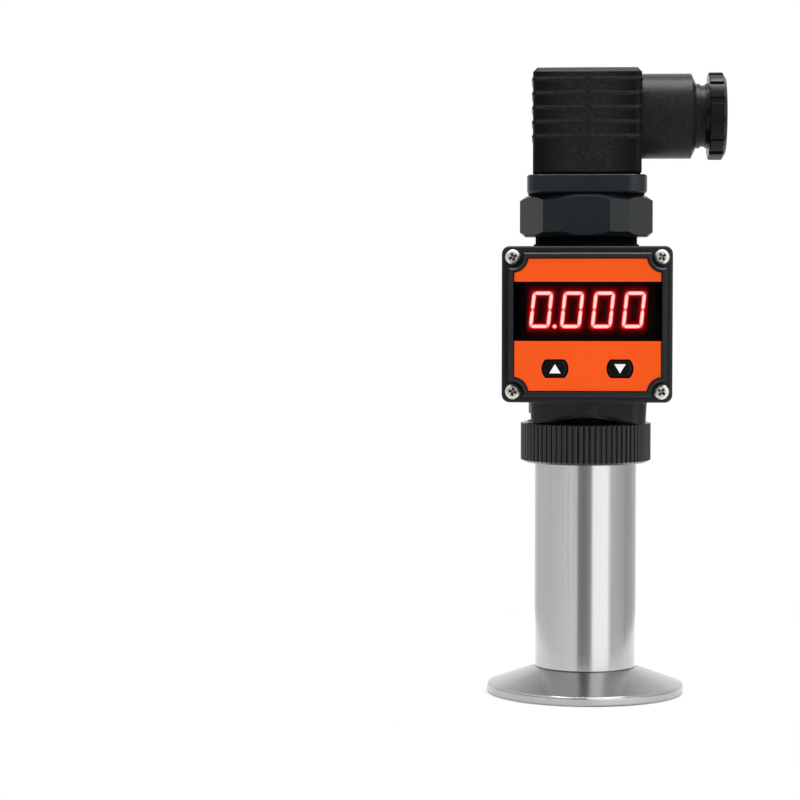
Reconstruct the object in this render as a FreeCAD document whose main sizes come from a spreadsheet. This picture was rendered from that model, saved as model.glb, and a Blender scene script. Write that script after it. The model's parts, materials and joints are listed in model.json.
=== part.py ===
"""Pressure transmitter: clamp flange, sensor tube, LED display head and right-angle cable plug.

Millimetres. +Z runs up the sensor tube, the display faces -Y and the cable leaves along +X.
The origin is the centre of the flat clamp face. Each document object that is written out is
one separate piece, and its Label is the piece's name.
"""
import FreeCAD, Part
import math
import os
import re
import Sketcher
from FreeCAD import Placement, Rotation, Vector

SIZES = {
    # process connection: a 1.5 inch clamp ferrule
    "flange_radius": 25.25, "rim_height": 2.2, "cone_angle": 20, "rim_round": 0.45,
    "groove_centre": 21.75, "groove_curve": 1.7, "groove_depth": 1.1,
    "recess_radius": 15.5, "recess_depth": 1.2, "oil_radius": 14.2, "oil_gap": 0.7, "oil_channel": 1,
    "weld_ring_inner": 14.65, "weld_ring_height": 0.85, "diaphragm_thickness": 0.25,
    "diaphragm_radius": 15.3, "wave_first": 1.2, "wave_pitch": 1.7, "wave_rise": 0.3,
    # sensor tube and what it holds
    "tube_radius": 13, "tube_bore": 11.2, "tube_top": 61, "spigot_top": 16.5, "cell_floor": 5,
    "cell_bore": 9.6, "cell_radius": 9.5, "cell_height": 8, "header_radius": 7.5, "header_height": 1.2,
    "cell_nut_height": 2.6, "ring_cord": 0.7, "pin_radius": 0.3, "pin_circle": 5, "board_thickness": 1.2,
    "amplifier_width": 18, "amplifier_height": 28, "fit_gap": 0.05,
    # swivel joint between the tube and the display head
    "shoulder_radius": 14.4, "shoulder_top": 63.4, "pilot_radius": 10, "pilot_top": 70, "wire_bore": 4.5,
    "ring_radius": 16.67, "ring_root": 16.1, "ring_bottom": 59.3, "ring_top": 69.8, "lip_radius": 13.3,
    "ring_bore": 14.95, "rib_radius": 0.62, "rib_count": 72,
    "ring_top_inset": 1.3, "ring_top_drop": 0.5, "ring_foot_inset": 1.2, "ring_foot_rise": 0.7,
    # display head
    "head_centre": 94.8, "head_front": 15.8, "head_back": 18, "head_wide": 42.2, "head_high": 38.7,
    "head_corner": 2, "head_draft": 1, "back_round": 1.2, "gasket_depth": 0.9, "collar_draft": 3,
    "head_wall": 2.2, "cavity_wide": 37.6, "cavity_high": 34.4,
    "screw_x": 18.5, "screw_z": 16.77, "boss_radius": 3.4, "side_groove": 0.8, "groove_reach": 1.1,
    "collar_half": 14.8, "collar_corner": 4, "collar_bottom": 69.3, "collar_blend": 1.1,
    "relief_radius": 19.85, "relief_top": 71.9, "relief_bottom": 68.9, "relief_depth": 12.6,
    "spigot_radius": 14.65, "pilot_bore": 10.1,
    "neck_radius": 12.9, "neck_top": 116.9, "shank_radius": 11.6, "root_radius": 13.35, "root_top": 115,
    # cover, window and face
    "cover_wide": 42.6, "cover_high": 39.1, "cover_corner": 2, "cover_round": 0.7, "cover_front": 18,
    "bezel_front": 26.2, "bezel_edge": 0.35, "bezel_wide": 38.9, "bezel_high": 35.6,
    "bezel_notch": 2.85, "pane_wide": 36.6, "pane_high": 33.1, "pane_notch": 3.7, "pane_front": 25.6,
    "pane_back": 24.1, "ledge_back": 22.6, "ledge": 1.75, "film": 0.2, "film_border": 0.25,
    "strip_low": 90.8, "strip_high": 105.45,
    "screw_head": 1.93, "screw_round": 0.8, "screw_shank": 1.2, "screw_head_height": 1.3, "screw_length": 11,
    # keys, display and boards
    "key_x": 8, "key_z": 84, "key_flat": 2.2, "key_half_high": 2.07, "key_side": 2.95, "key_round": 0.6,
    "key_front": 25.9, "key_gap": 0.25, "key_lip": 0.75, "key_lip_front": 24.1,
    "key_lip_back": 23.3, "stem_radius": 1.7, "stem_end": 19.6, "switch_front": 20.3, "switch_half": 3,
    "board_front": 16.8, "board_back": 15.2, "module_front": 24, "module_half_wide": 15.05,
    "module_centre": 98.5, "module_half_high": 7, "digit_pitch": 7.62, "digit_half_wide": 2.15,
    "digit_half_high": 4.1, "digit_slant": 6, "segment": 0.42, "segment_gap": 0.2,
    "segment_depth": 0.4,
    "power_front": 6.4, "power_back": 4.8, "power_half_wide": 16.8, "power_half_high": 15, "pin_pitch": 2.54,
    "lead_radius": 0.6, "lead_stub": 0.4, "lead_height": 85, "supply_height": 103.5,
    # connector base
    "nut_turn": -1.6, "nut_flat": 31.9, "nut_corner": 33.8, "nut_top": 127.3, "nut_bevel": 1.9,
    "nut_top_inset": 0.6, "nut_foot_inset": 0.3, "washer_radius": 14.8,
    "base_half": 15.1, "base_corner": 5, "base_round": 0.6, "base_bottom": 127.8, "base_top": 132.4,
    "shank_bore": 10.2, "shank_bottom": 113.4, "web_bottom": 126.4, "blade_offset": 9,
    "blade_half": 3.15, "blade_thick": 0.8, "blade_bottom": 122.5, "blade_top": 141,
    "insert_radius": 2.4, "insert_bottom": 128.6, "boss_top": 135.4, "base_boss": 4, "screw_radius": 1.45,
    # cable plug
    "plug_half": 13.65, "plug_corner": 1.6, "plug_bottom": 133, "plug_top": 159.1, "plug_chamfer": 1.1,
    "plug_inside": 11.5, "plug_ceiling": 152, "plug_crown": 0.25, "bead_width": 0.25, "bead_height": 0.06,
    "ridge_first": 141.9, "ridge_pitch": 3.58, "ridge_half": 0.62, "ridge_slope": 27.3, "ridge_rise": 0.32,
    "ridge_count": 5, "parting": 1.3,
    "outlet_z": 147.65, "outlet_radius": 10.8, "outlet_end": 27.5, "outlet_taper": 1.05, "outlet_slope": 64.5,
    "step_radius": 8.2, "step_end": 28.6, "thread_radius": 7.8, "thread_end": 33.6, "outlet_bore": 5,
    "seal_seat": 25, "seal_bore": 6.6, "cable_radius": 4, "seal_end": 33.2, "gland_radius": 11.1,
    "skirt_start": 29.95, "skirt_radius": 8.5, "gland_start": 30.8, "gland_end": 35.15, "gland_bore": 5.2,
    "gland_wall": 34.2, "gland_notches": 14, "notch_turn": 20.9, "notch_width": 1.7, "notch_depth": 0.55,
    "terminal_top": 146, "terminal_floor": 136, "terminal_half": 11.3,
    "clamp_half": 3.7, "clamp_thick": 2.6, "clamp_screw": 1, "clamp_depth": 3,
    "clamp_head": 1.75, "clamp_rise": 1.5, "tube_boss": 3.4, "screw_hole": 1.8, "screw_recess": 4,
    "recess_floor": 155.1, "seal_height": 0.6, "retainer_head": 3, "retainer_top": 158.1,
    "retainer_end": 129.6,
}

doc = FreeCAD.newDocument("PressureTransmitter")
sheet = doc.addObject("Spreadsheet::Sheet", "Dims")
for row, (alias, size) in enumerate(SIZES.items(), 1):
    sheet.set(f"A{row}", alias)
    sheet.set(f"B{row}", str(size))
    sheet.setAlias(f"B{row}", alias)
doc.recompute()
pieces = []


# ---- sketches bound to the sheet ----

def bound(text):
    """Write a sum of size names as an expression on the sheet's cells."""
    def cell(name):
        return "Dims." + name[0] if name[0] in SIZES else name[0]
    return re.sub(r"[a-z]\w*", cell, str(text))


def value(text):
    """Work out a sum of size names."""
    return float(sheet.evalExpression(bound(text)))


def new_body(name):
    """Start one piece."""
    body = doc.addObject("PartDesign::Body", name)
    body.Label = name
    body.AllowCompound = True
    pieces.append(body)
    return body


def role(body, name):
    """Find one of a body's own origin planes or axes."""
    return [item for item in body.Origin.OriginFeatures if item.Role == name][0]


def sketch_on(body, plane, offset=0):
    """Open a sketch on an origin plane, moved along the plane's normal. The XZ plane faces the front."""
    made = body.newObject("Sketcher::SketchObject", body.Label + "_sketch")
    made.AttachmentSupport = [(role(body, plane), "")]
    made.MapMode = "FlatFace"
    made.setExpression("AttachmentOffset.Base.z", bound(offset))
    return made


def fix_point(made, item, end, point):
    """Hold one point of a sketch at a place given as two sums of size names."""
    for kind, place in zip(("DistanceX", "DistanceY"), point):
        index = made.addConstraint(Sketcher.Constraint(kind, -1, 1, item, end, value(place)))
        made.setExpression(f"Constraints[{index}]", bound(place))


def arc_centre(start, end, radius):
    """Centre of the shorter arc between two points; it turns left where the radius is positive."""
    chord = end - start
    reach = math.sqrt(max(radius ** 2 - chord.Length ** 2 / 4, 0))
    side = Vector(-chord.y, chord.x, 0).normalize() * math.copysign(reach, radius)
    return (start + end) / 2 + side


def outline(made, points):
    """Draw a closed outline. A point is (x, y), or (x, y, radius) where an arc starts: left turns are +."""
    corners = [Vector(value(point[0]), value(point[1]), 0) for point in points]
    first = made.GeometryCount
    starts = []
    for index, point in enumerate(points):
        here, there = corners[index], corners[(index + 1) % len(corners)]
        if len(point) == 2:
            made.addGeometry(Part.LineSegment(here, there), False)
            starts.append((1, 2))
            continue
        radius = value(point[2])
        centre = arc_centre(here, there, radius)
        begin, finish = (here, there) if radius > 0 else (there, here)
        ring = Part.Circle(centre, Vector(0, 0, 1), abs(radius))
        angles = [math.atan2(spot.y - centre.y, spot.x - centre.x) for spot in (begin, finish)]
        made.addGeometry(Part.ArcOfCircle(ring, angles[0], angles[1]), False)
        starts.append((1, 2) if radius > 0 else (2, 1))
    for index, point in enumerate(points):
        after = (index + 1) % len(points)
        ends = (first + index, starts[index][1], first + after, starts[after][0])
        made.addConstraint(Sketcher.Constraint("Coincident", *ends))
    for index, point in enumerate(points):
        fix_point(made, first + index, starts[index][0], point[:2])
        if len(point) == 3:
            size = made.addConstraint(Sketcher.Constraint("Radius", first + index, abs(value(point[2]))))
            made.setExpression(f"Constraints[{size}]", bound(f"abs({point[2]})"))


def circle(made, x, y, radius):
    """Draw a circle."""
    ring = Part.Circle(Vector(value(x), value(y), 0), Vector(0, 0, 1), value(radius))
    item = made.addGeometry(ring, False)
    fix_point(made, item, 3, (x, y))
    size = made.addConstraint(Sketcher.Constraint("Radius", item, value(radius)))
    made.setExpression(f"Constraints[{size}]", bound(radius))


def rectangle(made, x, y, half_x, half_y):
    """Draw a plain rectangle about a centre."""
    outline(made, [(f"{x} - ({half_x})", f"{y} - ({half_y})"), (f"{x} + {half_x}", f"{y} - ({half_y})"),
                   (f"{x} + {half_x}", f"{y} + {half_y}"), (f"{x} - ({half_x})", f"{y} + {half_y}")])


def rounded_rectangle(made, y, half_x, half_y, corner):
    """Draw a rectangle with round corners, centred on the sketch's vertical axis."""
    inner_x, inner_y = f"({half_x} - {corner})", f"({half_y} - {corner})"
    outline(made, [(f"-{inner_x}", f"{y} - {half_y}"), (inner_x, f"{y} - {half_y}", corner),
                   (half_x, f"{y} - {inner_y}"), (half_x, f"{y} + {inner_y}", corner),
                   (inner_x, f"{y} + {half_y}"), (f"-{inner_x}", f"{y} + {half_y}", corner),
                   (f"-{half_x}", f"{y} + {inner_y}"), (f"-{half_x}", f"{y} - {inner_y}", corner)])


def notched_rectangle(made, half_x, half_y, notch):
    """Draw a rectangle whose corners are scooped out round the four cover screws."""
    inner_x = f"(screw_x - sqrt(({notch})^2 - (screw_z - {half_y})^2))"
    inner_y = f"(screw_z - sqrt(({notch})^2 - (screw_x - {half_x})^2))"
    low, high = f"head_centre - {half_y}", f"head_centre + {half_y}"
    left, right = f"head_centre - {inner_y}", f"head_centre + {inner_y}"
    scoop = f"-({notch})"
    outline(made, [(f"-{inner_x}", low), (inner_x, low, scoop), (half_x, left), (half_x, right, scoop),
                   (inner_x, high), (f"-{inner_x}", high, scoop), (f"-{half_x}", right),
                   (f"-{half_x}", left, scoop)])


# ---- features ----

def extrude(kind, body, made, length, reverse=False, both=False, taper=None):
    """Pad or pocket a sketch."""
    feature = body.newObject(f"PartDesign::{kind}", f"{body.Label}_{kind.lower()}")
    feature.Profile = made
    feature.setExpression("Length", bound(length))
    feature.Reversed = reverse
    feature.Midplane = both
    if taper:
        feature.setExpression("TaperAngle", bound(taper))
    made.Visibility = False
    doc.recompute()
    return feature


def pad(body, made, length, **options):
    """Add material."""
    return extrude("Pad", body, made, length, **options)


def pocket(body, made, length, **options):
    """Take material away, and make sure that some went."""
    before = body.Shape.Volume
    feature = extrude("Pocket", body, made, length, **options)
    if body.Shape.Volume > before - 1e-6:
        raise ValueError(f"{body.Label}: a pocket cut nothing")
    return feature


def spin(kind, body, made, axis="V_Axis"):
    """Revolve a sketch about one of its axes, to add or to cut."""
    before = body.Shape.Volume if kind == "Groove" else 0
    feature = body.newObject(f"PartDesign::{kind}", f"{body.Label}_{kind.lower()}")
    feature.Profile = made
    feature.ReferenceAxis = (made, [axis])
    feature.Angle = 360
    doc.recompute()
    if kind == "Groove" and body.Shape.Volume > before - 1e-6:
        raise ValueError(f"{body.Label}: a groove cut nothing")
    return feature


def turned(name, points, axis="V_Axis"):
    """A turned piece: its half section is spun about the tube's axis."""
    body = new_body(name)
    made = sketch_on(body, "XZ_Plane")
    outline(made, points)
    spin("Revolution", body, made, axis)
    return body


def cut_round(body, points, axis="V_Axis"):
    """Turn a groove into a piece."""
    made = sketch_on(body, "XZ_Plane")
    outline(made, points)
    return spin("Groove", body, made, axis)


def dress(kind, body, size, wanted):
    """Fillet or chamfer the edges that a test picks out."""
    base = body.Tip
    edges = [f"Edge{index}" for index, edge in enumerate(base.Shape.Edges, 1) if wanted(edge)]
    feature = body.newObject(f"PartDesign::{kind}", f"{body.Label}_{kind.lower()}")
    feature.Base = (base, edges)
    feature.setExpression("Radius" if kind == "Fillet" else "Size", bound(size))
    doc.recompute()
    return feature


def flat_at(edge, axis, place, slack=1e-3):
    """Is the whole edge at one place along an axis (0 is x, 1 is y, 2 is z)?"""
    box = edge.BoundBox
    low, high = ((box.XMin, box.XMax), (box.YMin, box.YMax), (box.ZMin, box.ZMax))[axis]
    return abs(low - place) < slack and abs(high - place) < slack


def repeat(kind, body, feature, axis, count, span):
    """Pattern a feature about or along an axis of its body."""
    made = body.newObject(f"PartDesign::{kind}", f"{body.Label}_pattern")
    made.Originals = [feature]
    if kind == "PolarPattern":
        made.Axis = (role(body, axis), [""])
        made.Angle = 360
    else:
        made.Direction = (role(body, axis), [""])
        made.setExpression("Length", bound(span))
    made.setExpression("Occurrences", bound(count))
    body.Tip = made
    doc.recompute()
    return made


def lay_along_x(body, height, turn=0):
    """Turn a piece made about its own Z so that it points along +X at a given height."""
    lying = Rotation(Vector(0, 1, 0), 90).multiply(Rotation(Vector(0, 0, 1), turn))
    body.Placement = Placement(Vector(0, 0, value(height)), lying)
    body.setExpression("Placement.Base.z", bound(height))


# ---- process connection and sensor tube ----

CONE_TOP = "(rim_height + (flange_radius - tube_radius) * tan(cone_angle))"


def make_clamp_ferrule():
    """Turned flange: clamp cone, gasket groove, diaphragm recess and the seat of the pressure cell."""
    slope = "rim_round * tan(cone_angle)"
    body = turned("clamp_ferrule", [
        ("oil_channel", "recess_depth + oil_gap"), ("oil_radius", "recess_depth + oil_gap"),
        ("oil_radius", "recess_depth"), ("recess_radius", "recess_depth"), ("recess_radius", 0),
        ("flange_radius - rim_round", 0, "rim_round"), ("flange_radius", "rim_round"),
        ("flange_radius", "rim_height - rim_round", "rim_round * 1.4"),
        ("flange_radius - rim_round", f"rim_height + {slope}"), ("tube_radius", CONE_TOP),
        ("tube_bore - fit_gap", CONE_TOP), ("tube_bore - fit_gap", "spigot_top"), ("cell_bore", "spigot_top"),
        ("cell_bore", "cell_floor"), ("oil_channel", "cell_floor")])
    made = sketch_on(body, "XZ_Plane")
    circle(made, "groove_centre", "groove_depth - groove_curve", "groove_curve")
    spin("Groove", body, made)


def make_diaphragm():
    """Thin process diaphragm, pressed into rings of shallow waves."""
    body = new_body("diaphragm")
    made = sketch_on(body, "XZ_Plane")
    crest = "recess_depth"
    trough = "recess_depth - diaphragm_thickness"
    count = 7
    curve = "(wave_pitch^2 / 16 + wave_rise^2 / 4) / wave_rise"
    lower = [("0", trough)]
    for index in range(count):
        edge = f"wave_first + {index} * wave_pitch"
        lower.append((edge, trough, f"-{curve}"))
        lower.append((f"{edge} + wave_pitch / 2", trough, curve))
    lower.append((f"wave_first + {count} * wave_pitch", trough))
    outline(made, lower + [("diaphragm_radius", trough), ("diaphragm_radius", crest), ("0", crest)])
    spin("Revolution", body, made)


def make_diaphragm_ring():
    """Weld ring that holds the diaphragm's edge in the ferrule."""
    turned("diaphragm_ring", [
        ("weld_ring_inner", "recess_depth - diaphragm_thickness - weld_ring_height + 0.25"),
        ("weld_ring_inner + 0.25", "recess_depth - diaphragm_thickness - weld_ring_height"),
        ("recess_radius", "recess_depth - diaphragm_thickness - weld_ring_height"),
        ("recess_radius", "recess_depth - diaphragm_thickness"),
        ("weld_ring_inner", "recess_depth - diaphragm_thickness")])


def make_pressure_cell():
    """Oil-filled pressure capsule with its seal groove and glass header, then its five pins."""
    top = "(cell_floor + cell_height)"
    low, high, floor = "(cell_floor + 3)", "(cell_floor + 4.8)", "(cell_bore - 2 * ring_cord)"
    turned("pressure_cell", [
        (0, "cell_floor + 0.6"), ("cell_radius - 1.5", "cell_floor + 0.6"),
        ("cell_radius - 1.5", "cell_floor"), ("cell_radius", "cell_floor"), ("cell_radius", low),
        (floor, low), (floor, high), ("cell_radius", high), ("cell_radius", top), ("header_radius", top),
        ("header_radius", f"{top} + header_height"), (0, f"{top} + header_height")])
    seal = new_body("cell_o_ring")
    made = sketch_on(seal, "XZ_Plane")
    circle(made, "cell_bore - ring_cord", f"({low} + {high}) / 2", "ring_cord")
    spin("Revolution", seal, made)
    pins = new_body("cell_pins")
    made = sketch_on(pins, "XY_Plane", f"{top} + header_height")
    circle(made, 0, "pin_circle", "pin_radius")
    pin = pad(pins, made, f"spigot_top + board_thickness + 0.8 - {top} - header_height")
    repeat("PolarPattern", pins, pin, "Z_Axis", 5, 360)


def make_cell_nut():
    """Threaded ring that holds the pressure cell down, with two spanner slots."""
    bottom = "(cell_floor + cell_height)"
    body = turned("cell_nut", [
        ("header_radius + 0.3", bottom), ("cell_bore - fit_gap", bottom),
        ("cell_bore - fit_gap", f"{bottom} + cell_nut_height"),
        ("header_radius + 0.3", f"{bottom} + cell_nut_height")])
    made = sketch_on(body, "XY_Plane", f"{bottom} + cell_nut_height")
    rectangle(made, 0, 0, 1, 12)
    pocket(body, made, 1)


def make_sensor_boards():
    """Round header board on the ferrule, with the upright amplifier board and its chips on it."""
    floor = "(spigot_top + board_thickness)"
    header = new_body("header_board")
    made = sketch_on(header, "XY_Plane", "spigot_top")
    circle(made, 0, 0, "tube_bore - 0.2")
    pad(header, made, "board_thickness")
    made = sketch_on(header, "XY_Plane", floor)
    circle(made, 0, "pin_circle", "pin_radius + 0.05")
    hole = pocket(header, made, "board_thickness")
    repeat("PolarPattern", header, hole, "Z_Axis", 5, 360)
    board = new_body("amplifier_board")
    made = sketch_on(board, "XZ_Plane")
    rectangle(made, 0, f"{floor} + amplifier_height / 2", "amplifier_width / 2", "amplifier_height / 2")
    pad(board, made, "board_thickness", both=True)
    chips = new_body("amplifier_chips")
    face = "board_thickness / 2"
    for x, up, half_x, half_z, rise in ((-3, 8, 2, 2.5, 1.6), (4, 9, 2.6, 2, 1.8), (0, 18, 5, 3.8, 2.2)):
        made = sketch_on(chips, "XZ_Plane", face)
        rectangle(made, x, f"{floor} + {up}", half_x, half_z)
        pad(chips, made, rise)
    made = sketch_on(chips, "XZ_Plane", f"-{face}")
    circle(made, -4, f"{floor} + 20", 2.5)
    circle(made, 4, f"{floor} + 20", 2.5)
    pad(chips, made, 4.5, reverse=True)


def make_sensor_tube():
    """Brushed stainless tube, with a fine bevel at its weld to the ferrule."""
    turned("sensor_tube", [
        ("tube_bore", CONE_TOP), ("tube_radius - 0.25", CONE_TOP), ("tube_radius", f"{CONE_TOP} + 0.25"),
        ("tube_radius", "tube_top"), ("tube_bore", "tube_top")])


def make_tube_adapter():
    """Turned end of the tube: shoulder for the coupling ring, pilot and seal groove for the head."""
    low, high, floor = "(shoulder_top + 1.8)", "(shoulder_top + 3.6)", "(pilot_bore - 2 * ring_cord)"
    turned("tube_adapter", [
        ("wire_bore", "tube_top - 8"), ("tube_bore - fit_gap", "tube_top - 8"),
        ("tube_bore - fit_gap", "tube_top"), ("shoulder_radius", "tube_top"),
        ("shoulder_radius", "shoulder_top"), ("pilot_radius", "shoulder_top"), ("pilot_radius", low),
        (floor, low), (floor, high), ("pilot_radius", high), ("pilot_radius", "pilot_top - 0.5"),
        ("pilot_radius - 0.5", "pilot_top"), ("wire_bore", "pilot_top")])
    seal = new_body("swivel_o_ring")
    made = sketch_on(seal, "XZ_Plane")
    circle(made, "pilot_bore - ring_cord", f"({low} + {high}) / 2", "ring_cord - 0.02")
    spin("Revolution", seal, made)


def make_coupling_ring():
    """Knurled union ring: it hooks under the tube's shoulder and screws onto the head's spigot."""
    body = turned("coupling_ring", [
        ("lip_radius", "ring_bottom"), ("ring_root", "ring_bottom"), ("ring_root", "ring_top"),
        ("ring_bore", "ring_top"), ("ring_bore", "tube_top"), ("lip_radius", "tube_top")])
    made = sketch_on(body, "XY_Plane", "ring_bottom")
    circle(made, "ring_radius - rib_radius", 0, "rib_radius")
    rib = pad(body, made, "ring_top - ring_bottom")
    repeat("PolarPattern", body, rib, "Z_Axis", "rib_count", 360)
    cut_round(body, [("ring_radius - ring_foot_inset", "ring_bottom"), ("ring_radius", "ring_bottom"),
                     ("ring_radius", "ring_bottom + ring_foot_rise")])
    cut_round(body, [("ring_radius - ring_top_inset", "ring_top"),
                     ("ring_radius", "ring_top - ring_top_drop"), ("ring_radius", "ring_top")])


# ---- display head ----

def screw_circles(made, radius):
    """Draw a circle at each of the four cover screws."""
    for side in (-1, 1):
        for end in (-1, 1):
            circle(made, f"{side} * screw_x", f"head_centre + {end} * screw_z", radius)


def make_rear_housing():
    """Moulded shell: drafted box, arched collar over the ring, spigot, stepped neck, bosses and ribs."""
    body = new_body("rear_housing")
    made = sketch_on(body, "XZ_Plane", "head_front")
    rounded_rectangle(made, "head_centre", "(head_wide / 2)", "(head_high / 2)", "head_corner")
    pad(body, made, "head_front + head_back", reverse=True, taper="-head_draft")
    dress("Fillet", body, "back_round", lambda edge: flat_at(edge, 1, value("head_back")))
    shell_bottom = "(head_centre - head_high / 2)"
    made = sketch_on(body, "XY_Plane", f"{shell_bottom} + head_wall / 2")
    rounded_rectangle(made, 0, "collar_half + 0.5", "(collar_half - 0.2)", "collar_corner")
    pad(body, made, f"{shell_bottom} + head_wall / 2 - collar_bottom", reverse=True, taper="-collar_draft")
    cut_round(body, [("spigot_radius", "collar_bottom - 0.1"), ("relief_radius", "collar_bottom - 0.1"),
                     ("spigot_radius", "relief_top")])
    dress("Fillet", body, "collar_blend", at_collar_root)
    made = sketch_on(body, "XY_Plane", "shoulder_top")
    circle(made, 0, 0, "spigot_radius")
    pad(body, made, f"{shell_bottom} - shoulder_top")
    cut_round(body, [("relief_depth", "relief_bottom"), ("spigot_radius", "relief_bottom"),
                     ("spigot_radius", "relief_top"), ("relief_depth", "relief_top")])
    made = sketch_on(body, "XY_Plane", "head_centre")
    circle(made, 0, 0, "neck_radius")
    pad(body, made, "neck_top - head_centre")
    made = sketch_on(body, "XY_Plane", "head_centre")
    circle(made, 0, 0, "root_radius")
    pad(body, made, "root_top - head_centre")
    hollow_rear_housing(body)
    outer = "(cavity_wide / 2 + 0.3)"
    for back, inner in (("board_back", "cavity_wide / 2 - 1.9"), ("power_back", "cavity_wide / 2 - 3.4")):
        made = sketch_on(body, "XZ_Plane", back)
        half = f"(({outer} - ({inner})) / 2)"
        for side in (-1, 1):
            rectangle(made, f"{side} * ({outer} - {half})", "head_centre", half, 3)
        pad(body, made, f"{back} + head_back - head_wall", reverse=True)


def at_collar_root(edge):
    """Is this edge where the collar meets the underside of the shell?"""
    box = edge.BoundBox
    bottom = value("head_centre - head_high / 2")
    within_x = max(-box.XMin, box.XMax) < value("collar_half + 0.7")
    within_y = max(-box.YMin, box.YMax) < value("collar_half")
    return within_x and within_y and box.ZMin > bottom - 0.4 and box.ZMax < bottom + 0.9


def hollow_rear_housing(body):
    """Cut the cavity, screw holes, seal groove, bores and the grip grooves of the shell."""
    made = sketch_on(body, "XZ_Plane", "head_front")
    notched_rectangle(made, "(cavity_wide / 2)", "(cavity_high / 2)", "boss_radius")
    pocket(body, made, "head_front + head_back - head_wall")
    made = sketch_on(body, "XZ_Plane", "head_front")
    gasket_outline(made)
    pocket(body, made, "gasket_depth")
    made = sketch_on(body, "XZ_Plane", "head_front")
    screw_circles(made, "screw_shank + fit_gap")
    pocket(body, made, "screw_length - 1")
    made = sketch_on(body, "XY_Plane", "shoulder_top")
    circle(made, 0, 0, "pilot_bore")
    pocket(body, made, "head_centre - cavity_high / 2 - shoulder_top + 1", reverse=True)
    made = sketch_on(body, "XY_Plane", "neck_top")
    circle(made, 0, 0, "shank_radius + fit_gap")
    pocket(body, made, "neck_top - head_centre - cavity_high / 2 + 1")
    made = sketch_on(body, "XZ_Plane", "-head_back")
    for side in (-1, 1):
        rectangle(made, f"{side} * head_wide / 2", "head_centre", "groove_reach", "side_groove / 2")
    pocket(body, made, "head_back", reverse=True)


def gasket_outline(made):
    """Draw the narrow band of the cover's seal, which passes inside the screws."""
    notched_rectangle(made, "(cavity_wide / 2 + 1.1)", "(cavity_high / 2 + 1.1)", "boss_radius - 1.2")
    notched_rectangle(made, "(cavity_wide / 2 + 0.4)", "(cavity_high / 2 + 0.4)", "boss_radius - 0.5")


def make_cover_gasket():
    """Moulded seal cord in the rim of the rear housing."""
    body = new_body("cover_gasket")
    made = sketch_on(body, "XZ_Plane", "head_front")
    gasket_outline(made)
    pad(body, made, "gasket_depth", reverse=True)


def make_front_cover():
    """Moulded cover: screw flange, raised bezel scooped out at the screws, window seat and board seat."""
    body = new_body("front_cover")
    made = sketch_on(body, "XZ_Plane", "head_front")
    rounded_rectangle(made, "head_centre", "(cover_wide / 2)", "(cover_high / 2)", "cover_corner")
    pad(body, made, "cover_front - head_front")
    dress("Fillet", body, "cover_round", lambda edge: flat_at(edge, 1, -value("cover_front")))
    made = sketch_on(body, "XZ_Plane", "cover_front - 0.5")
    notched_rectangle(made, "(bezel_wide / 2)", "(bezel_high / 2)", "bezel_notch")
    pad(body, made, "bezel_front - cover_front + 0.5")
    dress("Chamfer", body, "bezel_edge", lambda edge: flat_at(edge, 1, -value("bezel_front")))
    half_wide, half_high = "(pane_wide / 2)", "(pane_high / 2)"
    made = sketch_on(body, "XZ_Plane", "bezel_front")
    notched_rectangle(made, half_wide, half_high, "pane_notch")
    pocket(body, made, "bezel_front - pane_back")
    made = sketch_on(body, "XZ_Plane", "pane_back")
    notched_rectangle(made, f"({half_wide} - ledge)", f"({half_high} - ledge)", "pane_notch + 1.2")
    pocket(body, made, "pane_back - head_front")
    made = sketch_on(body, "XZ_Plane", "head_front")
    notched_rectangle(made, f"({half_wide} - 1)", f"({half_high} - 0.95)", "pane_notch + 0.8")
    pocket(body, made, "ledge_back - head_front", reverse=True)
    made = sketch_on(body, "XZ_Plane", "head_front")
    notched_rectangle(made, f"({half_wide} - 0.25)", f"({half_high} - 0.2)", "pane_notch + 0.25")
    pocket(body, made, "board_front - head_front", reverse=True)
    made = sketch_on(body, "XZ_Plane", "cover_front")
    screw_circles(made, "screw_shank + 0.3")
    pocket(body, made, "cover_front - head_front")


def make_cover_screws():
    """Four pan-head screws that hold the cover down."""
    body = new_body("cover_screws")
    made = sketch_on(body, "XZ_Plane", "cover_front")
    screw_circles(made, "screw_head")
    pad(body, made, "screw_head_height")
    head_top = -value("cover_front + screw_head_height")
    dress("Fillet", body, "screw_round", lambda edge: flat_at(edge, 1, head_top))
    made = sketch_on(body, "XZ_Plane", "cover_front")
    screw_circles(made, "screw_shank")
    pad(body, made, "screw_length", reverse=True)


def key_outline(made, side, grow=0):
    """Draw a key: flat above and below, bowed at both sides."""
    low, high = f"key_z - key_half_high - {grow}", f"key_z + key_half_high + {grow}"
    left = f"{side} * key_x - key_flat - {grow} * 0.6"
    right = f"{side} * key_x + key_flat + {grow} * 0.6"
    bow = f"(key_side + {grow})"
    outline(made, [(left, low), (right, low, bow), (right, high), (left, high, bow)])


def key_openings(body, front, depth):
    """Cut the two key holes."""
    made = sketch_on(body, "XZ_Plane", front)
    for side in (-1, 1):
        key_outline(made, side, "key_gap")
    pocket(body, made, depth)


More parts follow.
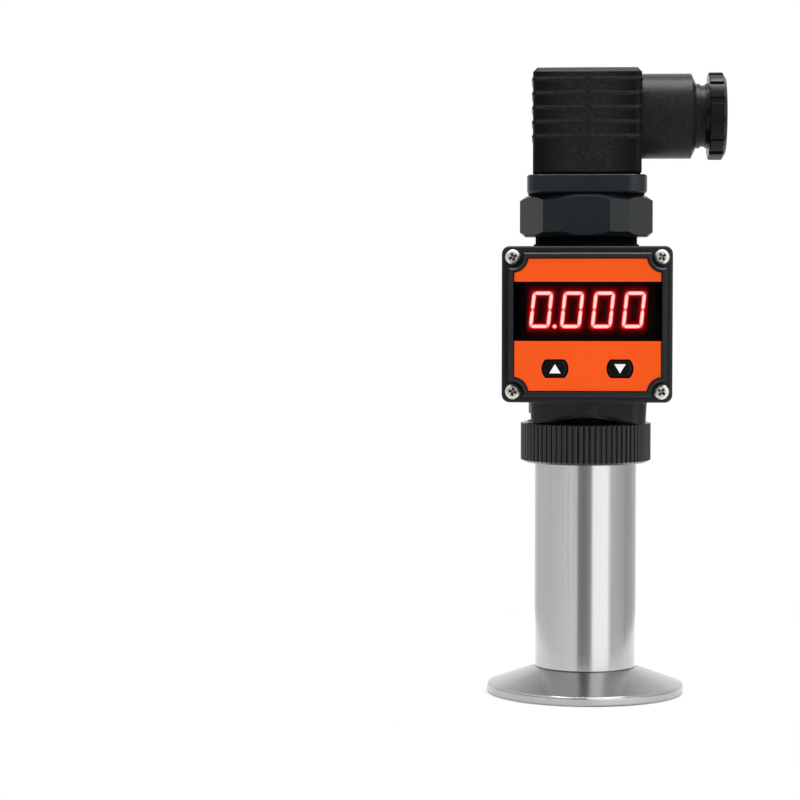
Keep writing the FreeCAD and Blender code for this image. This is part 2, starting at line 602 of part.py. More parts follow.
def make_window_and_face():
    """Smoked pane behind the whole face, and the printed film in two bands that frame its window."""
    pane = new_body("display_window")
    made = sketch_on(pane, "XZ_Plane", "pane_back")
    notched_rectangle(made, "(pane_wide / 2)", "(pane_high / 2)", "pane_notch")
    pad(pane, made, "pane_front - pane_back")
    key_openings(pane, "pane_front", "pane_front - pane_back")
    film = new_body("face_overlay")
    made = sketch_on(film, "XZ_Plane", "pane_front")
    notched_rectangle(made, "(pane_wide / 2 - film_border)", "(pane_high / 2 - film_border)",
                      "pane_notch + film_border")
    pad(film, made, "film")
    key_openings(film, "pane_front + film", "film")
    made = sketch_on(film, "XZ_Plane", "pane_front + film")
    rectangle(made, 0, "(strip_low + strip_high) / 2", "pane_wide / 2", "(strip_high - strip_low) / 2")
    pocket(film, made, "film")


def make_keys():
    """Two keys: cap, lip behind the pane and stem into its switch."""
    for side, name in ((-1, "key_up"), (1, "key_down")):
        body = new_body(name)
        made = sketch_on(body, "XZ_Plane", "key_lip_front")
        key_outline(made, side)
        pad(body, made, "key_front - key_lip_front")
        dress("Fillet", body, "key_round", lambda edge: flat_at(edge, 1, -value("key_front")))
        made = sketch_on(body, "XZ_Plane", "key_lip_back")
        key_outline(made, side, "key_lip")
        pad(body, made, "key_lip_front - key_lip_back")
        made = sketch_on(body, "XZ_Plane", "stem_end")
        circle(made, f"{side} * key_x", "key_z", "stem_radius")
        pad(body, made, "key_lip_back - stem_end")


def make_key_switches():
    """Two push switches on the display board."""
    body = new_body("key_switches")
    made = sketch_on(body, "XZ_Plane", "board_front")
    for side in (-1, 1):
        rectangle(made, f"{side} * key_x", "key_z", "switch_half", "switch_half")
    pad(body, made, "switch_front - board_front")
    made = sketch_on(body, "XZ_Plane", "switch_front")
    for side in (-1, 1):
        circle(made, f"{side} * key_x", "key_z", "stem_radius + 0.1")
    pocket(body, made, "switch_front - stem_end + 1.2")


def slanted(x, up):
    """A point of a digit, leaning with the digit's slant."""
    return (f"{x} + ({up}) * tan(digit_slant) - 1.5 * digit_pitch", f"module_centre + {up}")


def light_bar(made, x, up, half_long, upright):
    """Draw one pointed bar of a digit."""
    ends = [(-1, 0), (-1, -1), (1, -1), (1, 0), (1, 1), (-1, 1)]
    points = []
    for along, across in ends:
        reach = f"{along} * ({half_long}" + (")" if across == 0 else " - segment)")
        side = f"{across} * segment"
        points.append(slanted(f"{x} - {side}", f"{up} + {reach}") if upright
                      else slanted(f"{x} + {reach}", f"{up} + {side}"))
    outline(made, points)


def make_display():
    """Display board, the four-digit light module and its light bars, which sit flush in its face."""
    board = new_body("display_board")
    made = sketch_on(board, "XZ_Plane", "board_back")
    notched_rectangle(made, "(pane_wide / 2 - 0.3)", "(pane_high / 2 - 0.25)", "pane_notch + 0.3")
    pad(board, made, "board_front - board_back")
    bars = new_body("led_digits")
    made = sketch_on(bars, "XZ_Plane", "module_front - segment_depth")
    for level in (-1, 0, 1):
        light_bar(made, 0, f"{level} * digit_half_high", "(digit_half_wide - segment_gap)", False)
    for side in (-1, 1):
        for level in (-1, 1):
            light_bar(made, f"{side} * digit_half_wide", f"{level} * digit_half_high / 2",
                      "(digit_half_high / 2 - segment_gap)", True)
    circle(made, "digit_half_wide + segment * 2.8 - 1.5 * digit_pitch", "module_centre - digit_half_high",
           "segment * 1.15")
    digit = pad(bars, made, "segment_depth")
    repeat("LinearPattern", bars, digit, "X_Axis", 4, "3 * digit_pitch")
    block = new_body("module_block")
    made = sketch_on(block, "XZ_Plane", "board_front")
    rectangle(made, 0, "module_centre", "module_half_wide", "module_half_high")
    pad(block, made, "module_front - board_front")
    pieces.remove(block)
    module = doc.addObject("Part::Cut", "led_module")
    module.Base = block
    module.Tool = bars
    pieces.append(module)


def make_power_board():
    """Second board on a pin header behind the display board, with its parts."""
    board = new_body("power_board")
    made = sketch_on(board, "XZ_Plane", "power_back")
    notched_rectangle(made, "power_half_wide", "power_half_high", "pane_notch")
    pad(board, made, "power_front - power_back")
    header = new_body("board_header")
    made = sketch_on(header, "XZ_Plane", "board_back - 2.5")
    rectangle(made, 0, "head_centre - 12.5", 7.6, 1.27)
    pad(header, made, 2.5)
    made = sketch_on(header, "XZ_Plane", "power_front")
    rectangle(made, "-2.5 * pin_pitch", "head_centre - 12.5", 0.32, 0.32)
    pin = pad(header, made, "board_back - 2.5 - power_front")
    repeat("LinearPattern", header, pin, "X_Axis", 6, "5 * pin_pitch")
    parts = new_body("power_components")
    boxes = ((9.5, -1, 3, 3, 4), (-9.5, -10, 3, 2, 1.6), (9.5, -10, 2.5, 2.5, 1.2))
    for x, up, half_x, half_z, rise in boxes:
        made = sketch_on(parts, "XZ_Plane", "power_back")
        rectangle(made, x, f"head_centre + {up}", half_x, half_z)
        pad(parts, made, rise, reverse=True)
    made = sketch_on(parts, "XZ_Plane", "power_back")
    circle(made, -9.5, "head_centre", 3.1)
    pad(parts, made, 7.5, reverse=True)


def make_leads():
    """Wires from the amplifier to the power board, and from there to the connector's blades."""
    board = -value("power_back")
    floor = value("spigot_top + board_thickness + amplifier_height")
    blades, offset = value("blade_bottom"), value("blade_offset")
    supply_y = board + value("lead_stub") + 1.6
    runs = (("signal_leads", (-2, 0, 2), 0, floor, value("lead_height")),
            ("blade_leads", (-offset, offset), supply_y, blades, value("supply_height")))
    for name, places, run_y, run_z, board_z in runs:
        wires = [bent_wire(x, run_y, run_z, board, board_z) for x in places]
        leads = doc.addObject("Part::Feature", name)
        leads.Shape = Part.makeCompound(wires)
        pieces.append(leads)


def bent_wire(x, run_y, run_z, board_y, board_z):
    """Sweep a round wire: an upright run, a quarter bend, and a short stub that meets the board."""
    bend = run_y - board_y - value("lead_stub")
    way = math.copysign(1, board_z - run_z)
    centre = Vector(x, run_y - bend, board_z - way * bend)
    start, bend_start = Vector(x, run_y, run_z), Vector(x, run_y, centre.z)
    bend_end, last = Vector(x, centre.y, board_z), Vector(x, board_y, board_z)
    middle = centre + Vector(0, bend * math.sqrt(0.5), way * bend * math.sqrt(0.5))
    path = Part.Wire([Part.makeLine(start, bend_start), Part.Arc(bend_start, middle, bend_end).toShape(),
                      Part.makeLine(bend_end, last)])
    section = Part.Wire([Part.makeCircle(value("lead_radius"), start, Vector(0, 0, way))])
    return path.makePipeShell([section], True, False)


# ---- connector base ----

def blade_rectangles(made, half_thick, half_wide):
    """Draw the four flat contact places round the middle of the connector."""
    for side in (-1, 1):
        rectangle(made, f"{side} * blade_offset", 0, half_thick, half_wide)
        rectangle(made, 0, f"{side} * blade_offset", half_wide, half_thick)


def make_lock_nut():
    """Hexagonal lock nut with cut corners; its rims are turned off to a shallow cone."""
    body = new_body("lock_nut")
    made = sketch_on(body, "XY_Plane", "neck_top")
    half_face = "(nut_corner - nut_flat * cos(30)) / (2 * sin(30))"
    points = []
    for face in range(6):
        turn = f"({60 * face} + nut_turn)"
        for end in (-1, 1):
            points.append((f"nut_flat / 2 * sin({turn}) + {end} * {half_face} * cos({turn})",
                           f"-nut_flat / 2 * cos({turn}) + {end} * {half_face} * sin({turn})"))
    outline(made, points)
    pad(body, made, "nut_top - neck_top")
    outside = "nut_flat / 2 + 2"
    cut_round(body, [("nut_flat / 2 - nut_top_inset", "nut_top"), (outside, "nut_top - nut_bevel"),
                     (outside, "nut_top")])
    cut_round(body, [("nut_flat / 2 - nut_foot_inset", "neck_top"), (outside, "neck_top"),
                     (outside, "neck_top + nut_bevel")])
    made = sketch_on(body, "XY_Plane", "nut_top")
    circle(made, 0, 0, "shank_radius + fit_gap")
    pocket(body, made, "nut_top - neck_top")


def make_connector_base():
    """Square flange on a threaded shank, moulded round the contact blades and the screw bush."""
    body = new_body("connector_base")
    made = sketch_on(body, "XY_Plane", "base_bottom")
    rounded_rectangle(made, 0, "base_half", "base_half", "base_corner")
    pad(body, made, "base_top - base_bottom")
    dress("Fillet", body, "base_round",
          lambda edge: flat_at(edge, 2, value("base_top")) or flat_at(edge, 2, value("base_bottom")))
    made = sketch_on(body, "XY_Plane", "shank_bottom")
    circle(made, 0, 0, "shank_radius")
    pad(body, made, "base_bottom - shank_bottom + 0.5")
    made = sketch_on(body, "XY_Plane", "base_top - 0.5")
    circle(made, 0, 0, "base_boss")
    pad(body, made, "boss_top - base_top + 0.5")
    made = sketch_on(body, "XY_Plane", "shank_bottom")
    circle(made, 0, 0, "shank_bore")
    pocket(body, made, "web_bottom - shank_bottom", reverse=True)
    made = sketch_on(body, "XY_Plane", "base_top")
    blade_rectangles(made, "blade_thick / 2", "blade_half")
    pocket(body, made, "base_top - web_bottom")
    made = sketch_on(body, "XY_Plane", "boss_top")
    circle(made, 0, 0, "insert_radius")
    pocket(body, made, "boss_top - insert_bottom")
    blades = new_body("contact_blades")
    made = sketch_on(blades, "XY_Plane", "blade_bottom")
    blade_rectangles(made, "blade_thick / 2", "blade_half")
    pad(blades, made, "blade_top - blade_bottom")
    turned("threaded_insert", [
        ("screw_radius + fit_gap", "insert_bottom"), ("insert_radius", "insert_bottom"),
        ("insert_radius", "boss_top"), ("screw_radius + fit_gap", "boss_top")])
    turned("base_gasket", [
        ("shank_radius + fit_gap", "nut_top"), ("washer_radius", "nut_top"), ("washer_radius", "base_bottom"),
        ("shank_radius + fit_gap", "base_bottom")])


# ---- cable plug ----

def peaked_square(made, half, corner):
    """Draw a square with round corners whose front and back faces rise to a faint peak in the middle."""
    inner, peak = f"({half} - {corner})", f"({half} + plug_crown)"
    outline(made, [(f"-{inner}", f"-{half}"), (0, f"-{peak}"), (inner, f"-{half}", corner),
                   (half, f"-{inner}"), (half, inner, corner), (inner, half), (0, peak),
                   (f"-{inner}", half, corner), (f"-{half}", inner), (f"-{half}", f"-{inner}", corner)])


def make_plug_housing():
    """Moulded plug: ribbed hood in two drafted halves, side outlet with its thread, and its chambers."""
    body = new_body("plug_housing")
    made = sketch_on(body, "XY_Plane", "plug_bottom")
    peaked_square(made, "plug_half", "plug_corner")
    pad(body, made, "plug_top - plug_bottom")
    dress("Chamfer", body, "plug_chamfer", lambda edge: flat_at(edge, 2, value("plug_top")))
    for downward in (False, True):
        made = sketch_on(body, "XY_Plane", "ridge_first")
        peaked_square(made, "(plug_half + ridge_rise)", "(plug_corner + ridge_rise)")
        ridge = pad(body, made, "ridge_half", reverse=downward, taper="-ridge_slope")
        repeat("LinearPattern", body, ridge, "Z_Axis", "ridge_count", "(ridge_count - 1) * ridge_pitch")
    part_ridges(body)
    for start, end, radius, taper in (
            ("plug_inside + 0.5", "outlet_end - outlet_taper", "outlet_radius", None),
            ("outlet_end - outlet_taper", "outlet_end", "outlet_radius", "-outlet_slope"),
            ("outlet_end", "step_end", "step_radius", None),
            ("outlet_end", "thread_end", "thread_radius", None)):
        made = sketch_on(body, "YZ_Plane", start)
        circle(made, 0, "outlet_z", radius)
        pad(body, made, f"{end} - ({start})", taper=taper)
    hollow_plug_housing(body)


def part_ridges(body):
    """Stop the ridges short of the parting line, front and back, and lay a fine bead along it."""
    face = "(plug_half + plug_crown)"
    span = "((ridge_count - 1) * ridge_pitch)"
    for offset, backward in ((face, False), (f"-{face}", True)):
        made = sketch_on(body, "XZ_Plane", f"{offset} + {-1 if backward else 1} * ridge_rise")
        rectangle(made, 0, f"ridge_first + {span} / 2", "parting / 2", f"{span} / 2 + ridge_half + 0.1")
        pocket(body, made, "ridge_rise + 0.04", reverse=backward)
    made = sketch_on(body, "XY_Plane", "plug_bottom")
    for side in (-1, 1):
        rectangle(made, 0, f"{side} * {face}", "bead_width / 2", "bead_height")
    pad(body, made, "plug_top - plug_chamfer - plug_bottom")


def hollow_plug_housing(body):
    """Cut the terminal chamber, the cable way and the hole of the fixing screw."""
    made = sketch_on(body, "XY_Plane", "plug_bottom")
    rounded_rectangle(made, 0, "plug_inside", "plug_inside", "1")
    pocket(body, made, "plug_ceiling - plug_bottom", reverse=True)
    made = sketch_on(body, "XY_Plane", "terminal_top")
    circle(made, 0, 0, "tube_boss")
    pad(body, made, "plug_ceiling - terminal_top + 0.5")
    made = sketch_on(body, "YZ_Plane", "thread_end")
    circle(made, 0, "outlet_z", "outlet_bore")
    pocket(body, made, "thread_end - plug_inside + 0.5")
    made = sketch_on(body, "YZ_Plane", "thread_end")
    circle(made, 0, "outlet_z", "seal_bore")
    pocket(body, made, "thread_end - seal_seat")
    made = sketch_on(body, "XY_Plane", "plug_top")
    circle(made, 0, 0, "screw_recess")
    pocket(body, made, "plug_top - recess_floor")
    made = sketch_on(body, "XY_Plane", "recess_floor")
    circle(made, 0, 0, "screw_hole")
    pocket(body, made, "recess_floor - terminal_top")


def make_terminal_insert():
    """Contact carrier in the plug, with its four screw clamps."""
    body = new_body("terminal_insert")
    made = sketch_on(body, "XY_Plane", "plug_bottom")
    rounded_rectangle(made, 0, "terminal_half", "terminal_half", "1")
    pad(body, made, "terminal_top - plug_bottom")
    made = sketch_on(body, "XY_Plane", "terminal_top")
    circle(made, 0, 0, "screw_hole")
    pocket(body, made, "terminal_top - plug_bottom")
    made = sketch_on(body, "XY_Plane", "plug_bottom")
    circle(made, 0, 0, "base_boss + 0.3")
    blade_rectangles(made, "blade_thick / 2 + 0.25", "blade_half + 0.25")
    pocket(body, made, "terminal_floor - plug_bottom", reverse=True)
    made = sketch_on(body, "XY_Plane", "terminal_top")
    blade_rectangles(made, "clamp_thick / 2", "clamp_half")
    pocket(body, made, "terminal_top - terminal_floor")
    clamps = new_body("terminal_clamps")
    made = sketch_on(clamps, "XY_Plane", "terminal_floor")
    blade_rectangles(made, "clamp_thick / 2", "clamp_half")
    pad(clamps, made, "terminal_top - terminal_floor")
    made = sketch_on(clamps, "XY_Plane", "terminal_floor")
    blade_rectangles(made, "blade_thick / 2 + 0.1", "blade_half + 0.1")
    pocket(clamps, made, "blade_top - terminal_floor + 0.5", reverse=True)
    made = sketch_on(clamps, "XY_Plane", "terminal_top")
    terminal_circles(made, "clamp_screw")
    pocket(clamps, made, "clamp_depth")
    screws = new_body("terminal_screws")
    made = sketch_on(screws, "XY_Plane", "terminal_top - clamp_depth")
    terminal_circles(made, "clamp_screw")
    pad(screws, made, "clamp_depth")
    made = sketch_on(screws, "XY_Plane", "terminal_top")
    terminal_circles(made, "clamp_head")
    pad(screws, made, "clamp_rise")


def terminal_circles(made, radius):
    """Draw a circle over each of the four clamps."""
    for side in (-1, 1):
        circle(made, f"{side} * blade_offset", 0, radius)
        circle(made, 0, f"{side} * blade_offset", radius)


def make_plug_fastening():
    """Flat seal under the plug, and the long screw through it with its sealing washer."""
    seal = new_body("profile_gasket")
    made = sketch_on(seal, "XY_Plane", "base_top")
    rounded_rectangle(made, 0, "(plug_half - 0.3)", "(plug_half - 0.3)", "plug_corner")
    rounded_rectangle(made, 0, "(terminal_half - 1.1)", "(terminal_half - 1.1)", "1")
    pad(seal, made, "plug_bottom - base_top")
    turned("screw_seal", [
        ("screw_radius + 0.1", "recess_floor"), ("retainer_head + 0.3", "recess_floor"),
        ("retainer_head + 0.3", "recess_floor + seal_height"),
        ("screw_radius + 0.1", "recess_floor + seal_height")])
    body = turned("retaining_screw", [
        (0, "retainer_end"), ("screw_radius - 0.4", "retainer_end"), ("screw_radius", "retainer_end + 0.4"),
        ("screw_radius", "recess_floor + seal_height"), ("retainer_head", "recess_floor + seal_height"),
        ("retainer_head", "retainer_top - 0.4"), ("retainer_head - 0.4", "retainer_top"),
        (0, "retainer_top")])
    made = sketch_on(body, "XY_Plane", "retainer_top")
    rectangle(made, 0, 0, 4, 0.4)
    pocket(body, made, 1)


def make_gland():
    """Cable gland: rubber seal, pressure washer and the notched, skirted nut that squeezes them."""
    seal = turned("gland_seal", [
        ("cable_radius", "seal_seat"), ("seal_bore - 0.8", "seal_seat"),
        ("seal_bore - fit_gap", "seal_seat + 1.2"),
        ("seal_bore - fit_gap", "seal_end"), ("cable_radius", "seal_end")])
    washer = turned("gland_washer", [
        ("cable_radius + 0.6", "seal_end"), ("seal_bore - fit_gap", "seal_end"),
        ("seal_bore - fit_gap", "gland_wall"), ("cable_radius + 0.6", "gland_wall")])
    nut = turned("gland_nut", [
        ("thread_radius + 0.1", "skirt_start"), ("thread_radius + 0.25", "skirt_start"),
        ("skirt_radius", "gland_start"), ("gland_radius - 0.3", "gland_start"),
        ("gland_radius", "gland_start + 0.3"), ("gland_radius", "gland_end - 0.9"),
        ("gland_radius - 1.4", "gland_end"), ("gland_bore + 0.3", "gland_end"),
        ("gland_bore", "gland_end - 0.3"), ("gland_bore", "gland_wall"),
        ("thread_radius + 0.1", "gland_wall")])
    made = sketch_on(nut, "XY_Plane", "gland_end")
    rectangle(made, "gland_radius", 0, "notch_depth", "notch_width / 2")
    notch = pocket(nut, made, "gland_end - gland_start")
    repeat("PolarPattern", nut, notch, "Z_Axis", "gland_notches", 360)
    lay_along_x(seal, "outlet_z")
    lay_along_x(washer, "outlet_z")
    lay_along_x(nut, "outlet_z", value("notch_turn"))


def write_out():
    """Check every object, then write one file for each piece."""
    doc.recompute()
    for item in doc.Objects:
        if {"Invalid", "Error"} & set(item.State):
            raise ValueError(f"{item.Label}: {item.State}")
    os.makedirs("parts", exist_ok=True)
    for piece in pieces:
        if piece.Shape.isNull() or not piece.Shape.isValid():
            raise ValueError(f"{piece.Label}: bad shape")
        piece.Shape.exportStep(f"parts/{piece.Label}.step")


STEPS = (
    make_clamp_ferrule, make_diaphragm, make_diaphragm_ring, make_pressure_cell, make_cell_nut,
    make_sensor_boards, make_sensor_tube, make_tube_adapter, make_coupling_ring, make_rear_housing,
    make_cover_gasket, make_front_cover, make_cover_screws, make_window_and_face, make_keys,
    make_key_switches, make_display, make_power_board, make_leads, make_lock_nut, make_connector_base,
    make_plug_housing, make_terminal_insert, make_plug_fastening, make_gland)
for step in STEPS:
    step()
write_out()
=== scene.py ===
"""The looks of the pressure transmitter: its finishes, its lit reading, its seals and small parts.

Everything is in metres in the part's own frame: Z runs up the sensor tube from the clamp face, the
display faces -Y, and the cable leaves towards +X.
"""
import json
import math

import bmesh
import bpy
from mathutils import Matrix, Vector


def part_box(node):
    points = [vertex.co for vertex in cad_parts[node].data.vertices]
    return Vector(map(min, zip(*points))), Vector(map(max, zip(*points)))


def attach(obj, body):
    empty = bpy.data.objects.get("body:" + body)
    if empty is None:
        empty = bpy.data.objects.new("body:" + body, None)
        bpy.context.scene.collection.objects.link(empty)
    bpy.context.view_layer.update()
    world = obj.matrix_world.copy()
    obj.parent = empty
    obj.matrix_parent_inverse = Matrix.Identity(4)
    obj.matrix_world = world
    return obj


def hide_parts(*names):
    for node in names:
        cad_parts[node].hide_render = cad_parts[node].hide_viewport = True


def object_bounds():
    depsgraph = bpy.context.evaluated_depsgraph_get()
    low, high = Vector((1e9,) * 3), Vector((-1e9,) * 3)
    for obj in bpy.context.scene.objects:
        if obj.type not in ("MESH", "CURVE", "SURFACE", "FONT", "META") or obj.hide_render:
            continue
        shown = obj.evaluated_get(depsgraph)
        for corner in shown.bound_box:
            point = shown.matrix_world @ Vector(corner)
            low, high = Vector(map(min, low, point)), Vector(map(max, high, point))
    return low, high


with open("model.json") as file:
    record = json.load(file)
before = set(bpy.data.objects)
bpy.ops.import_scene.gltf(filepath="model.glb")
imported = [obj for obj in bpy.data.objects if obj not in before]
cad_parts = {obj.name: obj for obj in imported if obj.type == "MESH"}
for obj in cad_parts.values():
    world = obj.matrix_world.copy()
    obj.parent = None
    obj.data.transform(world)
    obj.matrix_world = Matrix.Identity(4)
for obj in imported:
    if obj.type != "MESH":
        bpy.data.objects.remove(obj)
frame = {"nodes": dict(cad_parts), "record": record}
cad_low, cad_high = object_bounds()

MM = 0.001
IN_MM = (1000, 1000, 1000)                  # the scale that turns a place in metres into mm
NOISE = {"From Min": 0.3, "From Max": 0.7}  # nearly all of a noise lies between these


# ---- shader tools ----

def linear(code):
    """The linear colour, with alpha 1, of an sRGB hex value."""
    parts = [int(code[place:place + 2], 16) / 255 for place in (1, 3, 5)]
    return [part / 12.92 if part <= 0.04045 else ((part + 0.055) / 1.055) ** 2.4
            for part in parts] + [1]


def add(tree, kind, inputs=None, output=0, feeds=None, stops=(), **settings):
    """Add one shader node and return one of its outputs, linked to `feeds` where that is given.

    An input that is a socket is linked, and any other is the value of that input. A colour ramp
    takes its `stops`, each a place from 0 to 1 and a linear colour.
    """
    made = tree.nodes.new("ShaderNode" + kind)
    for name, setting in settings.items():
        setattr(made, name, setting)
    for name, given in (inputs or {}).items():
        if isinstance(given, bpy.types.NodeSocket):
            tree.links.new(given, made.inputs[name])
        else:
            made.inputs[name].default_value = given
    if stops:
        elements = made.color_ramp.elements
        while len(elements) < len(stops):
            elements.new(0.5)
        for element, (place, colour) in zip(elements, stops):
            element.position, element.color = place, colour
    if feeds is not None:
        tree.links.new(made.outputs[output], feeds)
    return made.outputs[output]


def new_material(name, shade, roughness, **inputs):
    """A material with one Principled shader: returns it, its tree, the shader, and places in mm."""
    material = bpy.data.materials.new(name)
    material.use_nodes = True
    tree = material.node_tree
    shader = tree.nodes["Principled BSDF"]
    values = {"Base Color": linear(shade), "Roughness": roughness}
    values.update({key.replace("_", " "): given for key, given in inputs.items()})
    for key, given in values.items():
        shader.inputs[key].default_value = given
    metres = add(tree, "TexCoord", output="Object")
    return material, tree, shader, add(tree, "Mapping", {"Vector": metres, "Scale": IN_MM})


def vary(tree, shader, pattern, roughness=None, tones=None, relief=None, rounding=None):
    """Let a pattern vary a shader between its values at the pattern's lows and at its highs.

    `roughness` and `tones` are such pairs. The highs stand `relief` mm proud of the lows, and the
    piece's edges catch the light as if rounded by `rounding` mm.
    """
    if roughness:
        add(tree, "MapRange", {"Value": pattern, **NOISE, "To Min": roughness[0],
                               "To Max": roughness[1]}, feeds=shader.inputs["Roughness"])
    if tones:
        add(tree, "Mix", {"Factor": pattern, "A": linear(tones[0]), "B": linear(tones[1])},
            output="Result", feeds=shader.inputs["Base Color"], data_type="RGBA")
    if relief:
        heights = {"Height": pattern, "Distance": relief * MM}
        if rounding:
            heights["Normal"] = add(tree, "Bevel", {"Radius": rounding * MM}, samples=4)
        add(tree, "Bump", heights, feeds=shader.inputs["Normal"])


# ---- finishes ----

def moulded_plastic(name, shade, worn_and_lit, roughness, grain, depth, pitted, proud=None, **inputs):
    """Engineering plastic moulded in a spark-eroded tool.

    The tool leaves an even grain of pits `grain` mm across and `depth` mm deep, down to `pitted`
    Handling polishes it in patches some 9 mm across, which are glossier and as pale as its second
    shade. Where `proud` is given, painted light takes the patches' place: what stands between those
    two distances from the Z axis, in mm, measured square, is glossier and painted as pale as the
    second shade, as lit ridges are.
    """
    material, tree, shader, place = new_material(name, shade, roughness, IOR=1.5, **inputs)
    patch, polish = 9, 0.06
    # Painted light: with `proud`, what stands out is painted in the paler second shade, as its
    # upper sides catch the light.
    if proud:
        parts = add(tree, "SeparateXYZ", {"Vector": place}).node.outputs
        sides = [add(tree, "Math", {0: parts[axis]}, operation="ABSOLUTE") for axis in "XY"]
        reach = add(tree, "Math", {0: sides[0], 1: sides[1]}, operation="MAXIMUM")
        handled_and_lit = add(tree, "MapRange", {"Value": reach, "From Min": proud[0],
                                         "From Max": proud[1]})
    else:
        handled_and_lit = add(tree, "TexNoise", {"Vector": place, "Scale": 1 / patch, "Detail": 4})
    pits = add(tree, "TexNoise", {"Vector": place, "Scale": 1 / grain, "Detail": 3})
    tone = add(tree, "Mix", {"Factor": handled_and_lit, "A": linear(shade), "B": linear(worn_and_lit)},
               output="Result", data_type="RGBA")
    hollow = add(tree, "MapRange", {"Value": pits, "From Min": 0.35, "From Max": 0.62,
                                    "To Min": pitted, "To Max": 2 - pitted})
    add(tree, "Mix", {"Factor": 1.0, "A": tone, "B": hollow}, output="Result",
        feeds=shader.inputs["Base Color"], data_type="RGBA", blend_type="MULTIPLY")
    vary(tree, shader, handled_and_lit, roughness=(roughness + polish, roughness - polish))
    vary(tree, shader, pits, relief=depth, rounding=0.15)
    return material


def lathe_steel(name, shade, roughness, feed, depth, brushed=0.6):
    """Stainless steel turned or brushed round the Z axis.

    Its fine rings spread each highlight along the axis, so that what it reflects stands in
    upright bands. The real rings are some 0.05 mm apart, and are drawn `feed` mm apart to show.
    Drawing the tube left faint streaks along it, about 0.8 mm wide.
    """
    material, tree, shader, place = new_material(name, shade, roughness, Metallic=1,
                                                 Anisotropic=brushed, Anisotropic_Rotation=0.25)
    streak_wide, streak_long, ring_long = 0.8, 48, 90
    along = add(tree, "Mapping", {"Vector": place, "Scale": (1 / streak_wide, 1 / streak_wide,
                                                             1 / streak_long)})
    streaks = add(tree, "TexNoise", {"Vector": along, "Scale": 1.0, "Detail": 3})
    across = add(tree, "Mapping", {"Vector": place, "Scale": (1 / ring_long, 1 / ring_long,
                                                              1 / feed)})
    rings = add(tree, "TexNoise", {"Vector": across, "Scale": 1.0, "Detail": 3})
    vary(tree, shader, streaks, roughness=(roughness - 0.03, roughness + 0.05))
    vary(tree, shader, rings, relief=depth, rounding=0.08)
    add(tree, "Tangent", feeds=shader.inputs["Tangent"], direction_type="RADIAL", axis="Z")
    return material


def pressed_foil():
    """316L stainless foil, pressed into rings over its seat: bright and smooth.

    Rolling leaves a faint haze in streaks 1.2 mm wide and 7 mm long.
    """
    material, tree, shader, place = new_material("pressed stainless foil", "#C4C0BC", 0.16,
                                                 Metallic=1)
    rolled = add(tree, "Mapping", {"Vector": place, "Scale": (1 / 1.2, 1 / 7, 1 / 1.2)})
    haze = add(tree, "TexNoise", {"Vector": rolled, "Scale": 1.0, "Detail": 4})
    vary(tree, shader, haze, roughness=(0.12, 0.24), relief=0.002)
    return material


def plated_metal(name, shade, dull, roughness):
    """Plated metal, cold-headed or stamped: bright, and dull in patches where the plating is thin.

    The patches are 0.7 mm across. Its recesses are painted dark, as shade, up to 0.7 mm from
    their corners.
    """
    material, tree, shader, place = new_material(name, shade, roughness, Metallic=1)
    patches = add(tree, "TexNoise", {"Vector": place, "Scale": 1 / 0.7, "Detail": 4})
    tone = add(tree, "Mix", {"Factor": patches, "A": linear(dull), "B": linear(shade)},
               output="Result", data_type="RGBA")
    # Painted shade: ambient occlusion darkens the recesses to #16130F, as shade falls in them.
    open_to_light = add(tree, "AmbientOcclusion", {"Distance": 0.7 * MM}, output="AO", samples=8)
    unshaded_share = add(tree, "MapRange", {"Value": open_to_light, "From Min": 0.45, "From Max": 0.85})
    add(tree, "Mix", {"Factor": unshaded_share, "A": linear("#16130F"), "B": tone}, output="Result",
        feeds=shader.inputs["Base Color"], data_type="RGBA")
    vary(tree, shader, patches, roughness=(roughness + 0.18, roughness), relief=0.012,
         rounding=0.1)
    return material


def moulded_rubber():
    """Nitrile rubber, moulded: matt charcoal black with a bloom of fine dust, 0.5 mm across."""
    material, tree, shader, place = new_material("moulded nitrile rubber", "#0B0B0B", 0.8,
                                                 IOR=1.52, Specular_IOR_Level=0.04)
    bloom = add(tree, "TexNoise", {"Vector": place, "Scale": 1 / 0.5, "Detail": 5})
    vary(tree, shader, bloom, roughness=(0.7, 0.92), tones=("#070707", "#0F0F0F"), relief=0.01)
    return material


def smoked_acrylic():
    """Smoked acrylic sheet, cast and polished: black in daylight, clear to the light behind it.

    A coat against glare leaves only a faint reflection, so its IOR is matched below acrylic's
    1.49. Wiping leaves smears 4 mm high and 12 mm long.
    """
    material, tree, shader, place = new_material("smoked acrylic pane", "#8A7474", 0.03, IOR=1.12,
                                                 Transmission_Weight=1)
    wiped = add(tree, "Mapping", {"Vector": place, "Scale": (1 / 12, 1 / 4, 1 / 4)})
    smears = add(tree, "TexNoise", {"Vector": wiped, "Scale": 1.0, "Detail": 4})
    vary(tree, shader, smears, roughness=(0.01, 0.05))
    return material


def printed_film():
    """Polyester film, screen-printed orange on its back: an even satin colour over the mesh marks.

    The screen's mesh is drawn 0.12 mm across, and the ink's slow change of tone is 11 mm across.
    """
    material, tree, shader, place = new_material("screen-printed orange film", "#F0561A", 0.42,
                                                 IOR=1.57, Specular_IOR_Level=0.06)
    cast = add(tree, "TexNoise", {"Vector": place, "Scale": 1 / 11, "Detail": 3})
    mesh = add(tree, "TexNoise", {"Vector": place, "Scale": 1 / 0.12, "Detail": 1})
    vary(tree, shader, cast, roughness=(0.36, 0.48), tones=("#EC5419", "#F2581C"))
    vary(tree, shader, mesh, relief=0.0015)
    return material


def light_bars(name, shade, glow, strength):
    """A bar of cast epoxy with a red chip under it, lit or dark: glossy, clouded 0.4 mm across."""
    material, tree, shader, place = new_material(
        name, shade, 0.4, IOR=1.5, Specular_IOR_Level=0.2, Emission_Color=linear(glow),
        Emission_Strength=strength)
    cloud = add(tree, "TexNoise", {"Vector": place, "Scale": 1 / 0.4, "Detail": 2})
    vary(tree, shader, cloud, roughness=(0.3, 0.5), relief=0.004)
    return material


